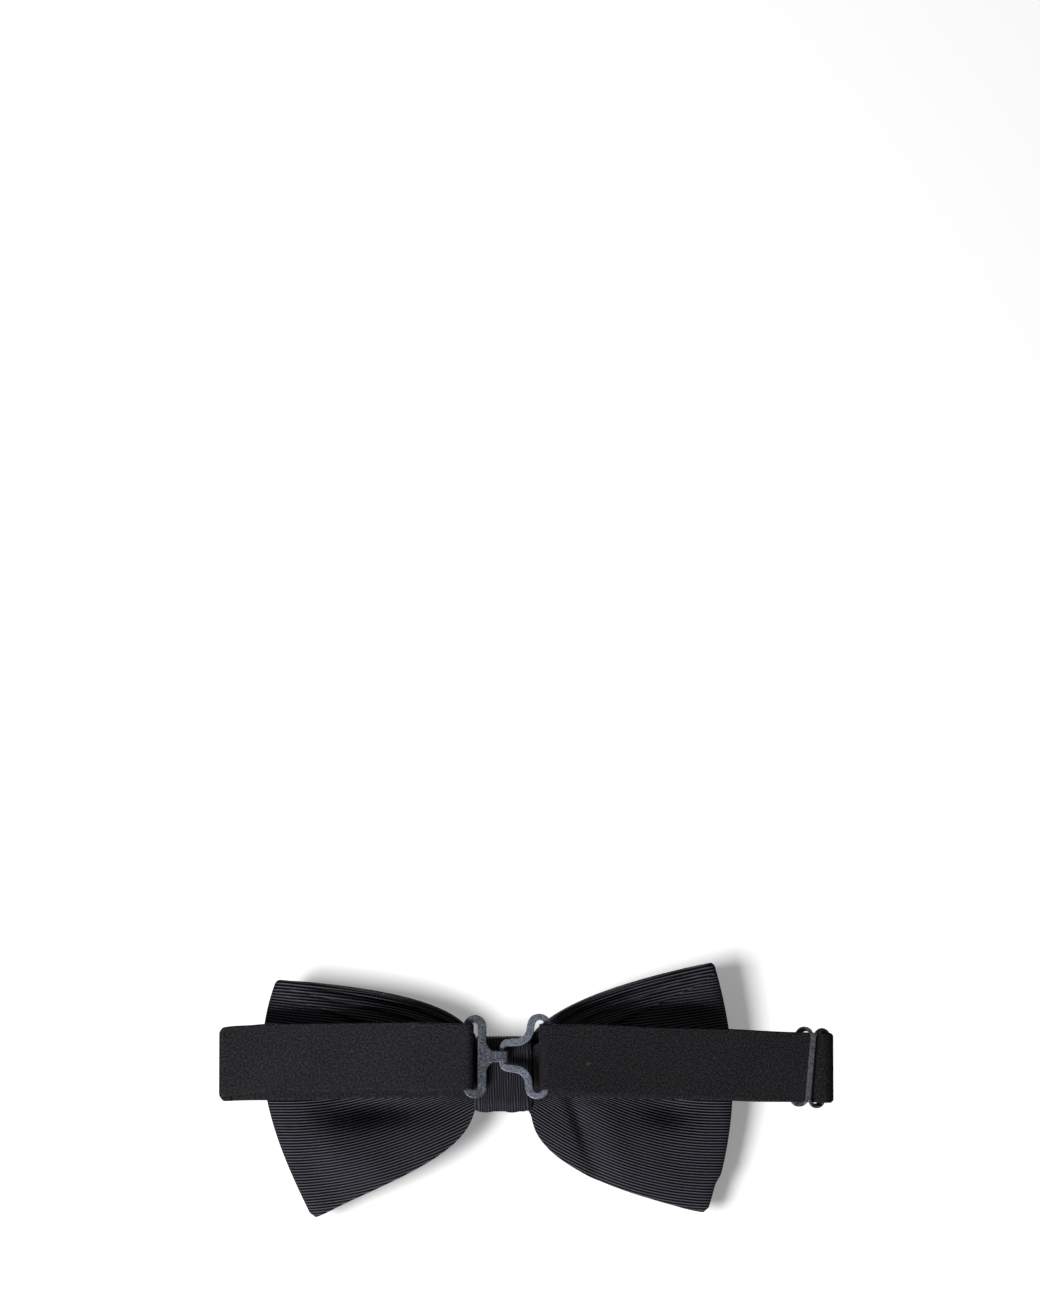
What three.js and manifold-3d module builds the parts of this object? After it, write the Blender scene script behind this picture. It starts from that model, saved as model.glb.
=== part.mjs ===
// A pre-tied bow tie with its neck band folded up behind the bow and fastened.
// +X is the hook's side, -X the slider's side, -Y the front of the bow, +Z up, as it is worn.
// The origin is the middle of the knot's back face, which lies on the collar button. Millimetres.
import * as THREE from "three";
import { mergeVertices } from "three/addons/utils/BufferGeometryUtils.js";
import Module from "manifold-3d";

const wasm = await Module();
wasm.setup();

// ---------- driving dimensions ----------
const clearance = 0.3; // between pieces that touch when at rest
const wingSpan = 123; // the bow, edge to edge, at its widest
const bowHeight = 67.5; // the bow, tip to top corner
const spanScale = wingSpan / 123; // the outlines below are drawn for 123 by 67.5
const heightScale = bowHeight / 67.5;

const knot = { width: 14.5, height: 18.7, wall: 0.8, corner: 2.4 };
const padThickness = 1.4;
const thread = { thickness: 0.4, width: 2.6 };
const ribbon = { wall: 0.7, waist: 3.6 };
const interlining = { wall: 0.4, rim: 0.02 }; // rim is how far it stops short of the ribbon's edges

const band = { width: 17.8, thickness: 0.7, tuckedWidth: 16.8, room: 1.35 }; // room above it in the knot
const bandReach = { hook: 75, slider: 87.2 }; // from the knot's middle to the outside of each fold
const foldGap = { hook: 1.5, slider: 0.45 }; // what is left free between the layers at each fold
const bandDroop = 0.038; // how far the band falls for each millimetre outwards
const bandDrop = 1.1; // how much lower the rear layer lies than the front one

const plateThickness = 0.8; // the three metal pieces
const claspLevel = 2.7; // the middle of the hook and eye above the knot's back face
const claspHeight = 4.5; // the middle of the clasp above the knot's middle
const loopInside = 1.3; // inside radius of the band's loops round the hook and the eye
const hookPlate = { barAt: 9.66, barWidth: 1.6, plateWidth: 2.3, width: 6.1, end: 2.2, room: 0.4 };
const tongue = { width: 3, tipAt: -0.97, tipLow: 2.35, bend: 0.6, stepFrom: 3.4, stepTo: 1.9 };
const tongueFlare = { sink: 0.6, spread: 3.4, endAt: 2.6, pull: 0.5 }; // where it widens into the ring
const eyePlate = { barAt: -11.5, barWidth: 1.6, hookBarWidth: 1.2, stroke: 2, earStroke: 1.7 };
const eyeSeat = { room: 1.3, lean: 2 };
const slide = { foldRoom: 0.276, width: 8.6, centreBar: 1.5, outerBar: 1.2, end: 1.3, room: 0.4, lean: 5 };
const endLoopTail = 5; // how far the sewn end of the band runs past the slider's bar
const easing = { knot: 9, clasp: 14, slope: 16 }; // lengths of band beside the knot, the clasp and its rise
const eyeTail = { sink: 2.2, rise: 6 }; // where the returning end leaves the eye's bar and levels out
const padMargin = { side: 1, end: 2 };
const tackThread = 0.3; // thread of the bar tacks

// Each metal piece is as tall as the band that goes through it asks for.
const hookHeight = band.tuckedWidth + 2 * (hookPlate.end + hookPlate.room);
const eyeHeight = band.tuckedWidth + 2 * (eyePlate.earStroke + eyeSeat.room);
const sliderHeight = band.width + 2 * (slide.end + slide.room);

// The slider is pushed out to the fold: its upper corner, which leans outwards, stays just clear of it.
const slideLean = THREE.MathUtils.degToRad(slide.lean);
const slideLeanOut = (sliderHeight / 2) * Math.sin(slideLean);
const slideAt = -(bandReach.slider - band.thickness - slide.foldRoom - slide.width / 2 - slideLeanOut);

// Middle to middle between the two layers at each fold. The sewn end lies between them on the slider's side.
const sewnStack = 2.5 * band.thickness + 5 * clearance + (plateThickness + slide.outerBar) / 2 + tackThread;
const foldRise = {
  hook: band.thickness + foldGap.hook,
  slider: band.thickness + sewnStack + foldGap.slider,
};

// ---------- depths, from the knot's back face forwards ----------
const bandLevel = -(knot.wall + clearance + band.thickness / 2);
const threadBack = bandLevel - band.thickness / 2 - clearance;
const rearWaist = threadBack - thread.thickness - clearance - ribbon.waist / 2;
const frontWaist = rearWaist - ribbon.waist - clearance;
const threadFront = frontWaist - ribbon.waist / 2 - clearance - thread.thickness;
const padBack = threadFront - clearance;
const knotDepth = -(padBack - padThickness - clearance - knot.wall);

const tunnelHalfHeight = knot.height / 2 - knot.wall;
const waistHalfHeight = tunnelHalfHeight - clearance - thread.thickness - clearance;

// ---------- materials ----------
const cloth = (color) => new THREE.MeshStandardMaterial({ color, roughness: 0.8, metalness: 0 });
const grosgrain = cloth(0x1d1e26);
const knotCloth = cloth(0x1a1b22);
const bandCloth = cloth(0x1a1a1d);
const canvas = cloth(0xd8d2c2);
const felt = cloth(0x3a3a3e);
const threadCloth = cloth(0x111114);
const metal = new THREE.MeshStandardMaterial({ color: 0x5a606c, roughness: 0.5, metalness: 0.8 });

// ---------- geometry helpers ----------
function toSolid(geometry) {
  const bare = geometry.clone();
  bare.deleteAttribute("normal");
  bare.deleteAttribute("uv");
  const merged = mergeVertices(bare, 1e-4);
  const vertProperties = merged.attributes.position.array;
  const triVerts = new Uint32Array(merged.index.array);
  return new wasm.Manifold(new wasm.Mesh({ numProp: 3, vertProperties, triVerts }));
}

function toGeometry(solid) {
  const mesh = solid.getMesh();
  const geometry = new THREE.BufferGeometry();
  geometry.setAttribute("position", new THREE.BufferAttribute(mesh.vertProperties, 3));
  geometry.setIndex(new THREE.BufferAttribute(mesh.triVerts, 1));
  return geometry;
}

const joined = (...geometries) => toGeometry(wasm.Manifold.union(geometries.map(toSolid)));

function indexed(points, faces) {
  const geometry = new THREE.BufferGeometry();
  geometry.setAttribute("position", new THREE.Float32BufferAttribute(points.flat(), 3));
  geometry.setIndex(faces.flat());
  geometry.computeVertexNormals();
  return geometry;
}

// A solid through a row of rings, each ordered clockwise when looking along the row.
function loft(rings) {
  const count = rings[0].length;
  const faces = [];
  for (let i = 0; i + 1 < rings.length; i++)
    for (let k = 0; k < count; k++) {
      const [a, b] = [i * count + k, i * count + ((k + 1) % count)];
      faces.push([a, b, b + count], [a, b + count, a + count]);
    }
  const last = (rings.length - 1) * count;
  for (let k = 1; k + 1 < count; k++) faces.push([0, k + 1, k], [last, last + k, last + k + 1]);
  return indexed(rings.flat(), faces);
}

// A flat strip that stands on edge along a route of [x, y, z, half width], its width along Z.
function strip(route, thickness) {
  const rings = route.map(([x, y, z, half], i) => {
    const [ax, ay] = route[Math.max(i - 1, 0)];
    const [bx, by] = route[Math.min(i + 1, route.length - 1)];
    const length = Math.hypot(bx - ax, by - ay);
    const [nx, ny] = [(-(by - ay) * thickness) / 2 / length, ((bx - ax) * thickness) / 2 / length];
    return [
      [x + nx, y + ny, z + half],
      [x - nx, y - ny, z + half],
      [x - nx, y - ny, z - half],
      [x + nx, y + ny, z - half],
    ];
  });
  return loft(rings);
}

// Points of an arc in the XY plane, from one angle to another in degrees.
function arc(cx, cy, radius, from, to, steps = 10) {
  return Array.from({ length: steps + 1 }, (_, i) => {
    const angle = THREE.MathUtils.degToRad(from + ((to - from) * i) / steps);
    return [cx + radius * Math.cos(angle), cy + radius * Math.sin(angle)];
  });
}

// A plate cut to a shape drawn in X and Z, its thickness along Y about the given level.
function plate(shape, level, thickness = plateThickness) {
  const geometry = new THREE.ExtrudeGeometry(shape, {
    depth: thickness,
    bevelEnabled: false,
    curveSegments: 10,
  });
  return geometry.rotateX(Math.PI / 2).translate(0, level + thickness / 2, 0);
}

function stadium(Path, cx, cy, width, height) {
  const path = new Path();
  const radius = width / 2;
  path.absarc(cx, cy + height / 2 - radius, radius, 0, Math.PI, false);
  path.absarc(cx, cy - height / 2 + radius, radius, Math.PI, 2 * Math.PI, false);
  path.closePath();
  return path;
}

const root = new THREE.Group();
function add(name, geometry, material) {
  const mesh = new THREE.Mesh(geometry, material);
  mesh.name = name;
  root.add(mesh);
  return mesh;
}

// ---------- the bow: two closed loops of ribbon, pinched in the knot ----------
// Each wing's outline: its upper edge and lower edge run outwards from the knot, its fold runs upwards.
const curve = (...points) =>
  new THREE.CubicBezierCurve(...points.map(([x, z]) => new THREE.Vector2(x * spanScale, z * heightScale)));
const hookWing = {
  upper: curve([7.6, 10], [14, 20], [35, 22], [59.5, 24.8]),
  lower: curve([7.6, -9.6], [10, -20], [24, -26], [50, -38]),
  fold: curve([50, -38], [62, -14], [67.5, 4], [59.5, 24.8]),
};
const sliderWing = {
  upper: curve([7.6, 10], [13, 18], [32, 24.5], [55.5, 29.5]),
  lower: curve([7.6, -9.6], [7, -20], [22, -30], [55, -36.5]),
  fold: curve([55, -36.5], [61, -14], [62, 4], [55.5, 29.5]),
};

// How thick a loop is and how far its middle lies from its waist, across a wing from the knot outwards.
const wingSteps = [0, 0.06, 0.18, 0.36, 0.56, 0.76, 0.9, 0.97, 1];
const rearLoop = {
  waist: rearWaist,
  shift: [0, 0, 0, -0.1, -0.2, -0.4, -0.6, -0.7, -0.7],
  half: [1.8, 1.9, 2.1, 2.3, 2.4, 2.3, 1.9, 1.6, 0],
  size: 1,
};
const frontLoop = {
  waist: frontWaist,
  shift: [-0.2, -0.5, -1.7, -2.6, -2.7, -2.3, -1.9, -1.8, -1.8],
  half: [1.8, 2, 3, 3.4, 3.4, 3, 2.2, 1.7, 0],
  size: 0.97,
};
const knotExit = knot.width / 2 + clearance;

// One skin of a loop, set in from its outside: rows go round the loop, columns from its lower edge up.
function loopSkin(loop, inset, rim) {
  const columns = [rim, 0.25, 0.5, 0.75, 1 - rim];
  const row = (wing, side, step, face) =>
    columns.map((v) => {
      const reach = wingSteps[step] * (1 - inset / wing.fold.getPoint(0.5).x);
      const bottom = wing.lower.getPoint(reach);
      const top = wing.upper.getPoint(reach);
      const fold = wing.fold.getPoint(v);
      const flatFold = wing.lower.getPoint(1).lerp(wing.upper.getPoint(1), v);
      const at = bottom.lerp(top, v).add(fold.sub(flatFold).multiplyScalar(reach * reach));
      const half = Math.max(loop.half[step] - inset, 0);
      const x = side * (knotExit + (at.x - wing.lower.getPoint(0).x) * loop.size);
      return [x, loop.waist + loop.shift[step] + face * half, at.y * loop.size];
    });
  const waistRow = (side, x, face) =>
    columns.map((v) => {
      const half = Math.max(ribbon.waist / 2 - inset, 0);
      return [side * x, loop.waist + face * half, (2 * v - 1) * waistHalfHeight];
    });
  const outer = wingSteps.length - 1;
  const steps = wingSteps.map((_, i) => i);
  const half = (wing, side, face) => [
    waistRow(side, knot.width / 2 - 0.6, face),
    waistRow(side, knot.width / 2 + 0.1, face),
    ...steps.slice(0, outer).map((step) => row(wing, side, step, face)),
  ];
  return [
    ...half(hookWing, 1, 1),
    row(hookWing, 1, outer, 1),
    ...half(hookWing, 1, -1).reverse(),
    ...half(sliderWing, -1, -1),
    row(sliderWing, -1, outer, 1),
    ...half(sliderWing, -1, 1).reverse(),
  ];
}

// The closed loop between two insets, open along its upper and lower edges.
function ribbonLoop(loop, from, wall, rim = 0) {
  const outside = loopSkin(loop, from, rim);
  const inside = loopSkin(loop, from + wall, rim);
  const [rows, columns] = [outside.length, outside[0].length];
  const offset = rows * columns;
  const faces = [];
  for (let i = 0; i < rows; i++) {
    const next = (i + 1) % rows;
    for (let k = 0; k + 1 < columns; k++) {
      const [a, b, c, d] = [i * columns + k, next * columns + k, next * columns + k + 1, i * columns + k + 1];
      faces.push([a, c, b], [a, d, c]);
      faces.push([offset + a, offset + b, offset + c], [offset + a, offset + c, offset + d]);
    }
    const [low, nextLow] = [i * columns, next * columns];
    const [high, nextHigh] = [low + columns - 1, nextLow + columns - 1];
    faces.push([low, nextLow, offset + nextLow], [low, offset + nextLow, offset + low]);
    faces.push([high, offset + nextHigh, nextHigh], [high, offset + high, offset + nextHigh]);
  }
  return indexed([...outside.flat(), ...inside.flat()], faces);
}

const liningInset = ribbon.wall + clearance;
add("rear_ribbon", ribbonLoop(rearLoop, 0, ribbon.wall), grosgrain);
add("rear_interlining", ribbonLoop(rearLoop, liningInset, interlining.wall, interlining.rim), canvas);
add("front_ribbon", ribbonLoop(frontLoop, 0, ribbon.wall), grosgrain);
add("front_interlining", ribbonLoop(frontLoop, liningInset, interlining.wall, interlining.rim), canvas);

// ---------- the knot ----------
function roundedBox(Path, low, high, halfHeight, corner) {
  const path = new Path();
  const shape = [
    [high - corner, halfHeight - corner, 0],
    [low + corner, halfHeight - corner, 1],
    [low + corner, -halfHeight + corner, 2],
    [high - corner, -halfHeight + corner, 3],
  ];
  for (const [x, y, turn] of shape)
    path.absarc(x, y, corner, (turn * Math.PI) / 2, ((turn + 1) * Math.PI) / 2, false);
  path.closePath();
  return path;
}

// A ring round the waist, drawn in Y and Z and as wide as given along X.
function waistRing(back, front, halfHeight, wall, corner, width) {
  const shape = roundedBox(THREE.Shape, front, back, halfHeight, corner);
  const inner = Math.max(corner - wall, 0.2);
  shape.holes.push(roundedBox(THREE.Path, front + wall, back - wall, halfHeight - wall, inner));
  const geometry = new THREE.ExtrudeGeometry(shape, { depth: width, bevelEnabled: false, curveSegments: 6 });
  // The drawn X becomes Y and the drawn Y becomes Z.
  const turn = new THREE.Matrix4().set(0, 0, 1, -width / 2, 1, 0, 0, 0, 0, 1, 0, 0, 0, 0, 0, 1);
  return geometry.applyMatrix4(turn);
}

add("knot_wrap", waistRing(0, -knotDepth, knot.height / 2, knot.wall, knot.corner, knot.width), knotCloth);
const threadHalfHeight = waistHalfHeight + clearance + thread.thickness;
add(
  "waist_thread",
  waistRing(threadBack, threadFront, threadHalfHeight, thread.thickness, 0.7, thread.width),
  threadCloth,
);

const padHeight = 2 * (tunnelHalfHeight - padMargin.end);
const pad = new THREE.BoxGeometry(knot.width - 2 * padMargin.side, padThickness, padHeight);
add("knot_pad", pad.translate(0, padBack - padThickness / 2, 0), felt);

// A zigzag of thread along a line in the XY plane, drawn flat: its length, swing and number of stitches.
function zigzag(length, swing, stitches) {
  const route = Array.from({ length: stitches + 1 }, (_, i) => [
    -length / 2 + (length * i) / stitches,
    i % 2 ? swing / 2 : -swing / 2,
    0,
    tackThread / 2,
  ]);
  return strip(route, tackThread);
}

// The seam that closes the wrap runs under the knot, where it can't be seen in wear.
const seam = zigzag(knot.width - 3, 1.2, 10);
add(
  "knot_seam_stitch",
  seam.translate(0, -knotDepth / 2, -knot.height / 2 - clearance - tackThread / 2),
  threadCloth,
);

// ---------- the neck band ----------
// The band's middle line falls outwards on both sides of the clasp.
const bandHeight = (x) => claspHeight - bandDroop * (Math.abs(x) - 7);
const half = band.width / 2;
const tucked = band.tuckedWidth / 2;
const frontLevel = claspLevel + loopInside + band.thickness / 2;

const sides = {
  hook: { sign: 1, reach: bandReach.hook, rise: foldRise.hook, rearEnd: bandLevel },
  slider: { sign: -1, reach: bandReach.slider, rise: foldRise.slider, rearEnd: frontLevel - foldRise.slider },
};
for (const side of Object.values(sides)) {
  side.radius = side.rise / 2;
  side.foldX = side.reach - band.thickness / 2 - side.radius;
  side.foldY = side.rearEnd + side.radius;
  side.foldZ = bandHeight(side.foldX);
}

// From the middle of the knot, where it is gathered, out to the fold, where it has its full width.
const gathered = tunnelHalfHeight - band.room;
function rearStations({ sign, foldX, rearEnd }) {
  const open = knotExit + easing.knot;
  const stations = [knotExit, knotExit + 3, open, open + 10, (open + foldX) / 2, foldX - clearance];
  return stations.map((x) => {
    const spread = THREE.MathUtils.smoothstep(x, knotExit, open);
    const along = THREE.MathUtils.clamp((x - open) / (foldX - open), 0, 1);
    const y = THREE.MathUtils.lerp(bandLevel, rearEnd, along);
    const drop = bandDrop * (1 - along);
    const z = THREE.MathUtils.lerp(0, bandHeight(x) - drop, spread);
    return [sign * x, y, z, THREE.MathUtils.lerp(gathered, half, spread)];
  });
}

// The turn between the two layers.
function bandFold({ sign, foldX, foldY, foldZ, radius }) {
  const turn = arc(0, 0, radius, -86, 86, 12).map(([x, y]) => [sign * (foldX + x), foldY + y, foldZ, half]);
  return strip(turn, band.thickness);
}

const rearRoute = [...rearStations(sides.hook).reverse(), ...rearStations(sides.slider)];
add("band_rear", strip(rearRoute, band.thickness), bandCloth);
add("band_fold_hook_side", bandFold(sides.hook), bandCloth);
add("band_fold_slider_side", bandFold(sides.slider), bandCloth);

// The outer layer, from a fold to the top of a bar of the clasp.
function outerLayer({ sign, foldX, foldY, radius }, barAt) {
  const start = foldY + radius;
  const ramp = Math.abs(barAt) + easing.clasp;
  return [
    [foldX - clearance, start, half],
    [ramp + easing.slope, THREE.MathUtils.lerp(frontLevel, start, easing.slope / (foldX - ramp)), half],
    [ramp, frontLevel, half],
    [Math.abs(barAt) + 3, frontLevel, tucked],
    [Math.abs(barAt) + 1, frontLevel, tucked],
  ].map(([x, y, width]) => [sign * x, y, bandHeight(x), width]);
}

// The turn round a bar of the clasp, from the outer layer to the inner side.
function barLoop({ sign }, barAt) {
  const turn = arc(Math.abs(barAt), claspLevel, loopInside + band.thickness / 2, 90, 270, 12);
  return turn.map(([x, y]) => [sign * x, y, claspHeight, tucked]);
}

// On the hook's side the end turns back under the outer layer, where it is sewn down.
const lowLevel = claspLevel - loopInside - band.thickness / 2;
const tailLevel = frontLevel - band.thickness - clearance - 0.2;
const tailReach = { sink: 2.2, rise: 6, end: 12 }; // outwards from the hook's bar
const hookTail = [
  [tailReach.sink, lowLevel],
  [tailReach.rise, tailLevel],
  [tailReach.end, tailLevel],
].map(([out, y]) => [hookPlate.barAt + out, y, bandHeight(hookPlate.barAt + out), tucked]);
const hookOuter = [...outerLayer(sides.hook, hookPlate.barAt), ...barLoop(sides.hook, hookPlate.barAt)];
add("band_hook_side", strip([...hookOuter, ...hookTail], band.thickness), bandCloth);

// A bar tack across the band, on the underside of a sewn end.
const tackLevel = tailLevel - band.thickness / 2 - clearance - tackThread / 2;
const hookTackAt = hookPlate.barAt + tailReach.end - 2;
const tackLength = band.tuckedWidth - 4;
const hookTack = zigzag(tackLength, 1, 14).rotateX(Math.PI / 2).rotateY(Math.PI / 2);
add("hook_end_stitch", hookTack.translate(hookTackAt, tackLevel, bandHeight(hookTackAt)), threadCloth);

// On the slider's side the band turns round the eye and runs back under the outer layer to the slider.
const outerBarLevel = frontLevel - 2 * band.thickness - 2 * clearance - plateThickness / 2;
const slideBarAt = slideAt + slide.width / 2 - slide.outerBar / 2; // the bar nearest the eye
const endLoop = { radius: slide.outerBar / 2 + clearance + band.thickness / 2 };
const returnEnd = slideBarAt + endLoopTail + clearance + tucked * Math.sin(slideLean);
const levelAt = eyePlate.barAt - eyeTail.sink - eyeTail.rise;
const sliderOuter = [...outerLayer(sides.slider, eyePlate.barAt), ...barLoop(sides.slider, eyePlate.barAt)];
add("band_slider_side", strip(sliderOuter, band.thickness), bandCloth);
const returnLevel = outerBarLevel - endLoop.radius;
const returnRoute = [
  [eyePlate.barAt - clearance, lowLevel, claspHeight, tucked],
  [levelAt, returnLevel, bandHeight(levelAt), tucked],
  [returnEnd, returnLevel, bandHeight(returnEnd), tucked],
];
add("band_return", strip(returnRoute, band.thickness), bandCloth);

// ---------- the slider and the sewn end that it carries ----------
const slideHeight = bandHeight(slideAt);

// The plate is bowed: its middle bar lies over the band and its outer bars under it.
function sliderPlate() {
  const ring = slide.width / 2 + slide.centreBar / 4;
  const offset = ring / 2 - slide.centreBar / 4;
  const middle = offset + slide.centreBar / 4;
  const outline = (sign) => stadium(THREE.Shape, sign * middle, 0, ring, sliderHeight);
  const slot = (sign) => {
    const inner = slide.width / 2 - slide.outerBar - slide.centreBar / 2;
    const cx = sign * (slide.centreBar / 2 + inner / 2);
    return stadium(THREE.Path, cx, 0, inner, sliderHeight - 2 * slide.end);
  };
  const rings = [1, -1].map((sign) => {
    const shape = outline(sign);
    return plate(shape, 0);
  });
  const slots = [1, -1].map((sign) => {
    const shape = new THREE.Shape(slot(sign).getPoints(10));
    return plate(shape, 0, plateThickness * 3);
  });
  let solid = wasm.Manifold.union(rings.map(toSolid));
  for (const cutter of slots) solid = solid.subtract(toSolid(cutter));
  return toGeometry(solid);
}

function bowed(geometry, middleLevel, outerLevel) {
  const position = geometry.attributes.position;
  for (let i = 0; i < position.count; i++) {
    const out = Math.abs(position.getX(i));
    const share = THREE.MathUtils.smoothstep(out, slide.centreBar / 2, slide.width / 2 - slide.outerBar);
    position.setY(i, position.getY(i) + THREE.MathUtils.lerp(middleLevel, outerLevel, share));
  }
  return geometry;
}

const middleBarLevel = frontLevel + band.thickness / 2 + clearance + plateThickness / 2;
const slider = bowed(sliderPlate(), middleBarLevel, outerBarLevel);
const onSlider = (geometry) => geometry.rotateY(-slideLean).translate(slideAt, 0, slideHeight);
add("slider", onSlider(slider), metal);

// The sewn end: under the bar nearest the eye, round it and back over it.
const endRoute = [
  [slideBarAt - slideAt + endLoopTail, outerBarLevel - endLoop.radius],
  ...arc(slideBarAt - slideAt, outerBarLevel, endLoop.radius, 270, 90, 10),
  [slideBarAt - slideAt + endLoopTail, outerBarLevel + endLoop.radius],
].map(([x, y]) => [x, y, 0, tucked]);
add("band_sewn_end", onSlider(strip(endRoute, band.thickness)), bandCloth);
const endTack = zigzag(tackLength, 1, 14).rotateX(Math.PI / 2).rotateY(Math.PI / 2);
const endTackLevel = outerBarLevel - endLoop.radius - band.thickness / 2 - clearance - tackThread / 2;
add(
  "slider_end_stitch",
  onSlider(endTack.translate(slideBarAt - slideAt + endLoopTail - 1.5, endTackLevel, 0)),
  threadCloth,
);

// ---------- the hook ----------
function hookRing() {
  const outside = hookPlate.barAt + hookPlate.barWidth / 2;
  const cx = outside - hookPlate.width / 2;
  const shape = stadium(THREE.Shape, cx, claspHeight, hookPlate.width, hookHeight);
  const slot = hookPlate.width - hookPlate.barWidth - hookPlate.plateWidth;
  const slotX = outside - hookPlate.barWidth - slot / 2;
  shape.holes.push(stadium(THREE.Path, slotX, claspHeight, slot, hookHeight - 2 * hookPlate.end));
  return plate(shape, claspLevel);
}

// The tongue leaves the ring with a flare, steps up over the eye's bar and turns down behind it.
function hookTongue() {
  const overBar = claspLevel + plateThickness + clearance;
  const wide = tongue.width / 2;
  const bend = arc(tongue.tipAt + tongue.bend, overBar - tongue.bend, tongue.bend, 90, 180, 6);
  const route = [
    [tongue.stepFrom + 2, claspLevel],
    [tongue.stepFrom, claspLevel],
    [tongue.stepTo, overBar],
    ...bend,
    [tongue.tipAt, tongue.tipLow],
  ].map(([x, y]) => [x, y, claspHeight, wide]);
  const ringEdge = hookPlate.barAt + hookPlate.barWidth / 2 - hookPlate.width;
  const { sink, spread, endAt, pull } = tongueFlare;
  const [from, bendAt] = [ringEdge + sink, ringEdge - pull];
  const flare = new THREE.Shape();
  flare.moveTo(from, claspHeight + wide + spread);
  flare.quadraticCurveTo(bendAt, claspHeight + wide + pull, endAt, claspHeight + wide);
  flare.lineTo(endAt, claspHeight - wide);
  flare.quadraticCurveTo(bendAt, claspHeight - wide - pull, from, claspHeight - wide - spread);
  flare.closePath();
  return [strip(route, plateThickness), plate(flare, claspLevel)];
}
add("hook", joined(hookRing(), ...hookTongue()), metal);

// ---------- the eye ----------
// Its upper half, from the bar that the hook holds round to the bar in the band's loop, and the lower mirrors it.
function eyeOutline(offset) {
  const bar = eyePlate.barAt;
  const edge = eyeHeight / 2 - eyePlate.stroke / 2;
  const upper = [
    [0.33, 0, eyePlate.hookBarWidth],
    [0.33, 2.1, eyePlate.hookBarWidth],
    [-0.5, 3.1, 1.7],
    [-2.1, 3.4, eyePlate.stroke],
    [-4.4, 3.7, eyePlate.stroke],
    [-6, 4.7, eyePlate.stroke],
    [-6.9, 6.4, eyePlate.stroke],
    [-7.1, 8.2, eyePlate.stroke],
    [-7.7, edge - 0.7, eyePlate.stroke],
    [-9.2, edge, eyePlate.earStroke],
    [-10.8, edge - 0.5, eyePlate.earStroke],
    [bar - 0.1, edge - 1.8, eyePlate.barWidth],
    [bar, 5, eyePlate.barWidth],
    [bar, 0, eyePlate.barWidth],
  ];
  const lower = upper.slice(1, -1).reverse().map(([x, z, w]) => [x, -z, w]);
  const all = [...upper, ...lower];
  const line = new THREE.CatmullRomCurve3(
    all.map(([x, z, w]) => new THREE.Vector3(x, z, w)),
    true,
    "centripetal",
  );
  const count = 72;
  return Array.from({ length: count }, (_, i) => {
    const at = line.getPoint(i / count);
    const ahead = line.getTangent(i / count);
    const length = Math.hypot(ahead.x, ahead.y);
    const out = (offset * at.z) / 2 / length;
    return new THREE.Vector2(at.x + ahead.y * out, at.y - ahead.x * out);
  });
}
const eyeShape = new THREE.Shape(eyeOutline(1));
eyeShape.holes.push(new THREE.Path(eyeOutline(-1)));
const eyeLean = THREE.MathUtils.degToRad(eyeSeat.lean);
const eye = plate(eyeShape, claspLevel).translate(-eyePlate.barAt, 0, 0).rotateY(-eyeLean);
add("eye", eye.translate(eyePlate.barAt, 0, claspHeight), metal);

export default root;
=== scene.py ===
import math

import bpy
import numpy as np
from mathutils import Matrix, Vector


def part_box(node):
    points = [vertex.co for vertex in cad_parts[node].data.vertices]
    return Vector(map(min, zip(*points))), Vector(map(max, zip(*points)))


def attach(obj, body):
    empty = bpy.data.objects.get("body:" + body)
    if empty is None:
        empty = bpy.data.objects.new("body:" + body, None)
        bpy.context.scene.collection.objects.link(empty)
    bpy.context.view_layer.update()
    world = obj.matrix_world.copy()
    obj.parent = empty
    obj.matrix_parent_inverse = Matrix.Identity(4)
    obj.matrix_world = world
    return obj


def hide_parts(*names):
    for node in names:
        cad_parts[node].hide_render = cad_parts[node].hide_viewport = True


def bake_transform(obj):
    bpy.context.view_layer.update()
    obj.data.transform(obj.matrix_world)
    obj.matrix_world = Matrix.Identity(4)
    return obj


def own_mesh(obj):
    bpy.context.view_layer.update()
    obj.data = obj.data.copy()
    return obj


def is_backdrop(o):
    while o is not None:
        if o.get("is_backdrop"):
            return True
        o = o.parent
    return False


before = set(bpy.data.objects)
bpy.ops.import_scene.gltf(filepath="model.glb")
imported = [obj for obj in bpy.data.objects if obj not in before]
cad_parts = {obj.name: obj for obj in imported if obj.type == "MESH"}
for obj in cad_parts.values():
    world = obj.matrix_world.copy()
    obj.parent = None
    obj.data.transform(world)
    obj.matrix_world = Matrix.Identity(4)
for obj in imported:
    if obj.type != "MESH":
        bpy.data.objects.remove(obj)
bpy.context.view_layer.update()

mm = 0.001


def boxOf(node):
    low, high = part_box(node)
    return np.array(low) / mm, np.array(high) / mm


def ease(low, high, value):
    t = np.clip((value - low) / (high - low), 0, 1)
    return t * t * (3 - 2 * t)


def bell(distance):
    return np.exp(-(distance ** 2) / 2)


# Meshes

def addPiece(name, points, faces, cornerUv, finish, body=None):
    mesh = bpy.data.meshes.new(name)
    mesh.from_pydata((np.asarray(points) * mm).tolist(), [], faces)
    layer = mesh.uv_layers.new(name="weave")
    layer.data.foreach_set("uv", np.asarray(cornerUv, np.float32).ravel() * mm)
    mesh.polygons.foreach_set("use_smooth", [True] * len(mesh.polygons))
    mesh.materials.append(finish)
    mesh.update()
    piece = bpy.data.objects.new(name, mesh)
    bpy.context.scene.collection.objects.link(piece)
    if body:
        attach(piece, body)
    return piece


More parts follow.
